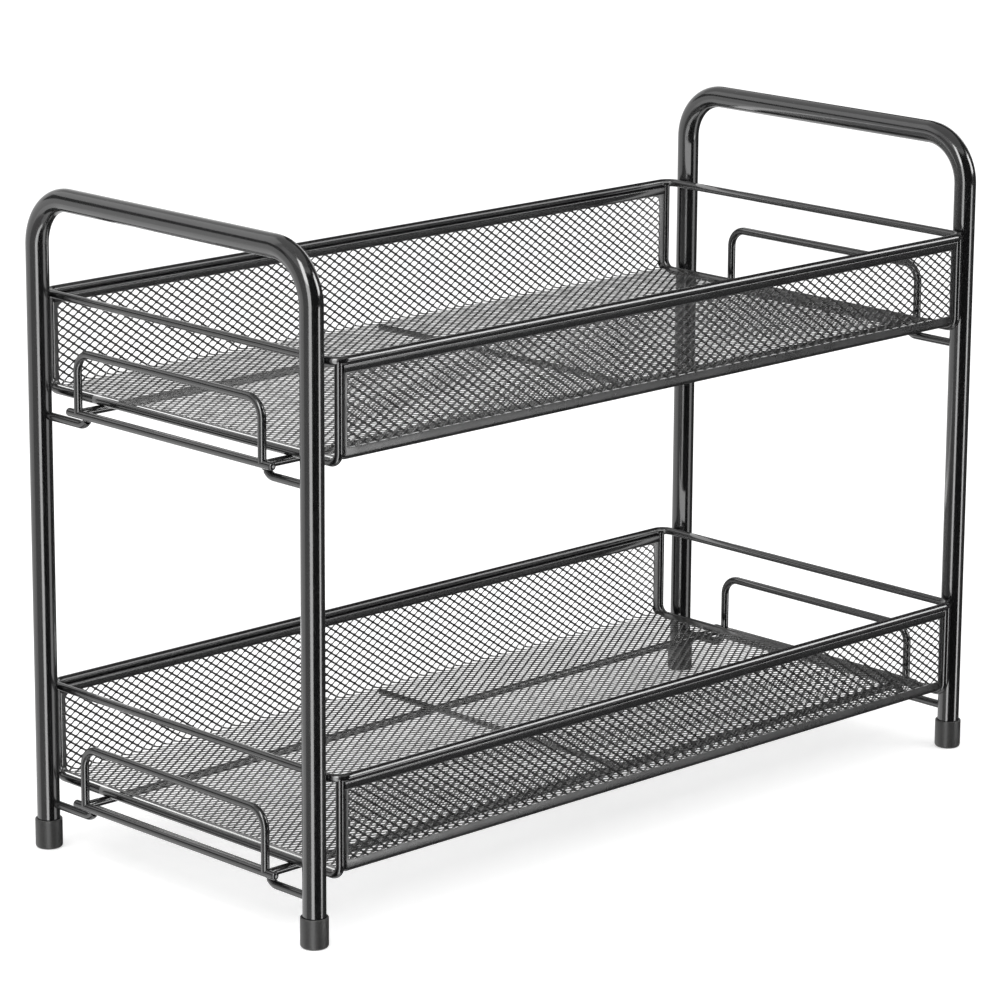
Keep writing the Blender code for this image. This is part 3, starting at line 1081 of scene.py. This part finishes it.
for tier in TIERS:
    mesh, lattice = fold_sheet(f"{tier}_expanded_sheet", tier)
    node = f"{tier}_mesh_sheet"
    show(f"{tier}_expanded_sheet", mesh, sheet_coat, basket_of(tier), node)
    print(tier, "sheet:", len(mesh.polygons), "faces")

# %% [markdown]
# ## Foot caps
#
# A cap is a moulded cup, pushed over the tube's end. Its profile is turned round the leg: a soft
# lower edge, straight sides, and a lip that rolls in against the tube. A bevelled cylinder would do
# from afar, but one profile holds the round edges and the bore together.

# %% Turn the foot caps
CAP_SIDES = 72
CAP_EDGE_R = 0.0016
CAP_LIP_R = 0.0006
CAP_BORE_GAP = 0.00005
CAP_DEPTH = 0.004
CAP_STEPS = 6
CAP_MERGE = 0.000001
CAP_SHARP = math.radians(50)


def quarter_round(across, up, size, start):
    """Points of a quarter circle about (across, up), from the angle start on."""
    points = []
    for step in range(CAP_STEPS + 1):
        angle = start + math.pi / 2 * step / CAP_STEPS
        points.append((across + size * math.cos(angle), up + size * math.sin(angle)))
    return points


def cap_profile(radius, height):
    """Points (radius, height) from the middle of the underside, out and up, and into the bore."""
    profile = [(0.0, 0.0)]
    profile += quarter_round(radius - CAP_EDGE_R, CAP_EDGE_R, CAP_EDGE_R, -math.pi / 2)
    profile += quarter_round(radius - CAP_LIP_R, height - CAP_LIP_R, CAP_LIP_R, 0.0)
    bore = TUBE_R + CAP_BORE_GAP
    profile.append((bore, height - CAP_LIP_R * 0.5))
    profile.append((bore, height - CAP_DEPTH))
    profile.append((0.0, height - CAP_DEPTH))
    return profile


def turned_mesh(name, profile, x, y):
    form = bmesh.new()
    verts = [form.verts.new((radius, 0, height)) for radius, height in profile]
    edges = [form.edges.new(pair) for pair in zip(verts, verts[1:])]
    bmesh.ops.spin(
        form,
        geom=verts + edges,
        cent=(0, 0, 0),
        axis=(0, 0, 1),
        angle=2 * math.pi,
        steps=CAP_SIDES,
        use_merge=True,
    )
    bmesh.ops.remove_doubles(form, verts=form.verts, dist=CAP_MERGE)
    bmesh.ops.recalc_face_normals(form, faces=form.faces)
    bmesh.ops.translate(form, verts=form.verts, vec=(x, y, 0))
    mesh = bpy.data.meshes.new(name)
    form.to_mesh(mesh)
    form.free()
    mesh.shade_smooth()
    mesh.set_sharp_from_angle(angle=CAP_SHARP)
    return mesh


for side, _ in SIDES:
    for depth, _ in DEPTHS:
        node = f"{side}_{depth}_foot_cap"
        low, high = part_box(node)
        middle = (low + high) / 2
        profile = cap_profile((high.x - low.x) / 2, high.z)
        mesh = turned_mesh(f"{node}_rubber", profile, middle.x, middle.y)
        show(f"{node}_rubber", mesh, cap_rubber, "end_frames", node)
print("foot caps turned:", len(SIDES) * len(DEPTHS))

# %% [markdown]
# ## Studio
#
# The rack stands on a white sweep under an even white sky, the plain light of a product shot.
# Gloss is all reflection, so what shapes the highlights is what stands round the rack: bright
# cards that draw the long lines along the tubes, and dark cards that draw the edges. Lamps alone
# would light the floor too, but cards can be hidden from everything except reflections.
#
# The sky is pure white where the camera or a reflection looks at it, and dimmer where it lights.


# %% Even white sky
WHITE = (1.0, 1.0, 1.0, 1.0)
SKY_STRENGTH = 0.75


def build_world():
    world = bpy.data.worlds.new("white_studio")
    bpy.context.scene.world = world
    world.use_nodes = True
    tree = world.node_tree
    tree.nodes.clear()
    output = tree.nodes.new("ShaderNodeOutputWorld")
    ambient = tree.nodes.new("ShaderNodeBackground")
    ambient.inputs["Color"].default_value = WHITE
    ambient.inputs["Strength"].default_value = SKY_STRENGTH
    backdrop = tree.nodes.new("ShaderNodeBackground")
    backdrop.inputs["Color"].default_value = WHITE
    backdrop.inputs["Strength"].default_value = 1.0
    light_path = tree.nodes.new("ShaderNodeLightPath")
    seen = light_path.outputs["Is Camera Ray"]
    for ray in ("Is Glossy Ray", "Is Transmission Ray"):
        seen = add_math(tree, "MAXIMUM", seen, light_path.outputs[ray])
    mix = tree.nodes.new("ShaderNodeMixShader")
    tree.links.new(seen, mix.inputs["Fac"])
    tree.links.new(ambient.outputs["Background"], mix.inputs[1])
    tree.links.new(backdrop.outputs["Background"], mix.inputs[2])
    tree.links.new(mix.outputs["Shader"], output.inputs["Surface"])


build_world()
print("sky strength", SKY_STRENGTH)

# %% [markdown]
# The floor is a plain matte sheet. Under the sky and the lamps it would come out a pale grey, so a
# little glow lifts it to white and keeps the rack's soft shadow. Only the camera's rays see the
# glow, so it lights nothing.


# %% White floor that keeps the shadow
FLOOR_COLOR = (0.86, 0.86, 0.86, 1.0)
FLOOR_LIFT = 0.48
FLOOR_SIZE = 12.0


def build_floor():
    material = bpy.data.materials.new("white_floor")
    material.use_nodes = True
    tree = material.node_tree
    shader = tree.nodes["Principled BSDF"]
    shader.inputs["Base Color"].default_value = FLOOR_COLOR
    shader.inputs["Roughness"].default_value = 0.9
    shader.inputs["Specular IOR Level"].default_value = 0.0
    light_path = tree.nodes.new("ShaderNodeLightPath")
    lift = add_math(tree, "MULTIPLY", light_path.outputs["Is Camera Ray"], FLOOR_LIFT)
    shader.inputs["Emission Color"].default_value = WHITE
    tree.links.new(lift, shader.inputs["Emission Strength"])
    bpy.ops.mesh.primitive_plane_add(size=FLOOR_SIZE, location=(0, 0, 0))
    floor = bpy.context.object
    floor.name = "floor"
    floor.data.materials.append(material)
    floor.visible_glossy = False


build_floor()
print("floor laid,", FLOOR_SIZE, "across")

# %% [markdown]
# A card is placed by the direction in which the rack sees it: its azimuth, counted from +X towards
# +Y, and its height above the horizon. It is a patch of a sphere, so the same angles hold for the
# whole rack. Each row gives a card's name, azimuths, heights, brightness and distance, and the
# nearer card shows where two overlap.


# %% Cards that only reflections see
FAR = 5.0
STRIPS = 4.8
NEAR = 1.2
CARD_STEP = 6.0
CARD_CENTRE_Z = 0.16


def card_mesh(name, azimuths, elevations, distance):
    """A patch of a sphere round the rack, between two azimuths and two elevations in degrees."""
    columns = math.ceil((azimuths[1] - azimuths[0]) / CARD_STEP)
    rows = math.ceil((elevations[1] - elevations[0]) / CARD_STEP)
    places = []
    for around in np.radians(np.linspace(*azimuths, columns + 1)):
        for above in np.radians(np.linspace(*elevations, rows + 1)):
            level = math.cos(above) * distance
            height = CARD_CENTRE_Z + math.sin(above) * distance
            places.append((level * math.cos(around), level * math.sin(around), height))
    faces = []
    for column in range(columns):
        for row in range(rows):
            first = column * (rows + 1) + row
            faces.append((first, first + 1, first + rows + 2, first + rows + 1))
    mesh = bpy.data.meshes.new(name)
    mesh.from_pydata(places, [], faces)
    return mesh


def show_card(name, mesh, strength):
    material = bpy.data.materials.new(name)
    material.use_nodes = True
    tree = material.node_tree
    tree.nodes.clear()
    output = tree.nodes.new("ShaderNodeOutputMaterial")
    glow = tree.nodes.new("ShaderNodeEmission")
    glow.inputs["Strength"].default_value = strength
    tree.links.new(glow.outputs["Emission"], output.inputs["Surface"])
    material.cycles.emission_sampling = "NONE"
    card = bpy.data.objects.new(name, mesh)
    bpy.context.scene.collection.objects.link(card)
    mesh.materials.append(material)
    for ray in ("camera", "diffuse", "transmission", "volume_scatter", "shadow"):
        setattr(card, f"visible_{ray}", False)


CARDS = (
    ("top_softbox", (0, 360), (54, 90), 0.6, FAR),
    ("key_strip", (203, 224), (-60, 24), 4.7, NEAR),
    ("bend_strip", (203, 224), (24, 56), 9.0, NEAR),
    ("second_strip", (293, 310), (-22, -7), 5.0, STRIPS),
    ("rim_strip", (305, 328), (8, 35), 8.0, STRIPS),
    ("front_flag", (213, 299), (-60, 45), 0.0, FAR),
    ("low_right_flag", (299, 335), (-60, -6), 0.15, FAR),
    ("middle_right_flag", (299, 335), (-6, 12), 0.1, FAR),
    ("high_right_flag", (299, 335), (12, 54), 0.1, FAR),
    ("rear_flag", (335, 404), (-60, 54), 0.07, FAR),
    ("rear_low_card", (8, 36), (2, 24), 1.4, STRIPS),
    ("back_softbox", (98, 150), (29, 60), 1.35, NEAR),
    ("back_high_flag", (46, 150), (28, 54), 0.7, FAR),
    ("back_band_flag", (105, 155), (10, 28), 0.15, FAR),
    ("back_middle_card", (95, 150), (-18, 10), 1.1, FAR),
    ("back_low_softbox", (95, 150), (-42, -18), 1.45, FAR),
    ("back_under_flag", (95, 150), (-60, -42), 0.1, FAR),
    ("left_flag", (155, 213), (-60, 30), 0.5, FAR),
)
for name, azimuths, elevations, strength, distance in CARDS:
    show_card(name, card_mesh(name, azimuths, elevations, distance), strength)
print("cards placed", len(CARDS))

# %% [markdown]
# The rear rims and legs are calmer than the front ones. A slim grey card stands just before each,
# between it and the bright strips, so it sees the card in their place.


# %% Slim cards before the rear rims and legs
RIM_CARD_X = (-0.19, 0.215)
RIM_CARD_AHEAD = 0.018
RIM_CARD_RISE = (0.003, 0.020)
RIM_CARD_STRENGTH = 2.6
LEG_CARD_ENDS = ((0.0075, -0.0285), (0.0185, -0.0225))
LEG_CARD_HEIGHTS = (0.0, 0.29)
LEG_CARD_STRENGTH = 1.6


def slim_card(name, start, end, heights, strength):
    """An upright card over the line from start to end on the floor plan."""
    mesh = bpy.data.meshes.new(name)
    mesh.from_pydata([(x, y, z) for z in heights for x, y in (start, end)], [], [(0, 1, 3, 2)])
    show_card(name, mesh, strength)


for tier in TIERS:
    low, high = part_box(f"{tier}_rim_wire")
    y = high.y - 2 * WIRE_R - RIM_CARD_AHEAD
    start, end = [(x, y) for x in RIM_CARD_X]
    heights = [(low.z + high.z) / 2 + rise for rise in RIM_CARD_RISE]
    slim_card(f"{tier}_rim_card", start, end, heights, RIM_CARD_STRENGTH)
for side, sign in SIDES:
    start, end = [(sign * LEG_X + across, LEG_Y + along) for across, along in LEG_CARD_ENDS]
    slim_card(f"{side}_leg_card", start, end, LEG_CARD_HEIGHTS, LEG_CARD_STRENGTH)
print("slim cards before", len(TIERS), "rims and", len(SIDES), "legs")

# %% [markdown]
# Two broad lamps give the rack a shadow with a soft edge. Reflections don't see them, because the
# cards already draw every highlight.


# %% Soft lamps
def add_lamp(name, azimuth, elevation, distance, size, power):
    lamp = bpy.data.lights.new(name, "AREA")
    lamp.shape = "SQUARE"
    lamp.size = size
    lamp.energy = power
    holder = bpy.data.objects.new(name, lamp)
    bpy.context.scene.collection.objects.link(holder)
    around = math.radians(azimuth)
    above = math.radians(elevation)
    direction = Vector(
        (math.cos(around) * math.cos(above), math.sin(around) * math.cos(above), math.sin(above))
    )
    holder.location = direction * distance
    holder.rotation_euler = direction.to_track_quat("Z", "Y").to_euler()
    holder.visible_glossy = False


add_lamp("key_lamp", azimuth=200, elevation=55, distance=2.0, size=1.2, power=14.0)
add_lamp("fill_lamp", azimuth=300, elevation=40, distance=2.2, size=1.4, power=8.0)
print("two soft lamps hung")

# %% [markdown]
# ## Camera
#
# A long lens from above the rack's front left corner. The three angles turn it round the vertical,
# tip it down and level the horizon.

# %% Place the camera
CAMERA_PLACE = Vector((-1.48279, -1.51542, 0.69914))
CAMERA_YAW = math.radians(44.154)
CAMERA_PITCH = math.radians(14.469)
CAMERA_ROLL = math.radians(0.340)
CAMERA_LENS = 160.05

ahead = Vector(
    (
        math.sin(CAMERA_YAW) * math.cos(CAMERA_PITCH),
        math.cos(CAMERA_YAW) * math.cos(CAMERA_PITCH),
        -math.sin(CAMERA_PITCH),
    )
)
level = Vector((math.cos(CAMERA_YAW), -math.sin(CAMERA_YAW), 0))
upright = level.cross(ahead)
across = math.cos(CAMERA_ROLL) * level + math.sin(CAMERA_ROLL) * upright
above = -math.sin(CAMERA_ROLL) * level + math.cos(CAMERA_ROLL) * upright
turned = Matrix((across, above, -ahead)).transposed().to_4x4()

camera_data = bpy.data.cameras.new("camera")
camera_data.sensor_width = 36.0
camera_data.lens = CAMERA_LENS
camera_data.clip_end = 50.0
camera = bpy.data.objects.new("camera", camera_data)
bpy.context.scene.collection.objects.link(camera)
camera.matrix_world = Matrix.Translation(CAMERA_PLACE) @ turned
bpy.context.scene.camera = camera
bpy.context.scene.view_settings.view_transform = "Standard"
print("camera at", [round(value, 3) for value in camera.location])
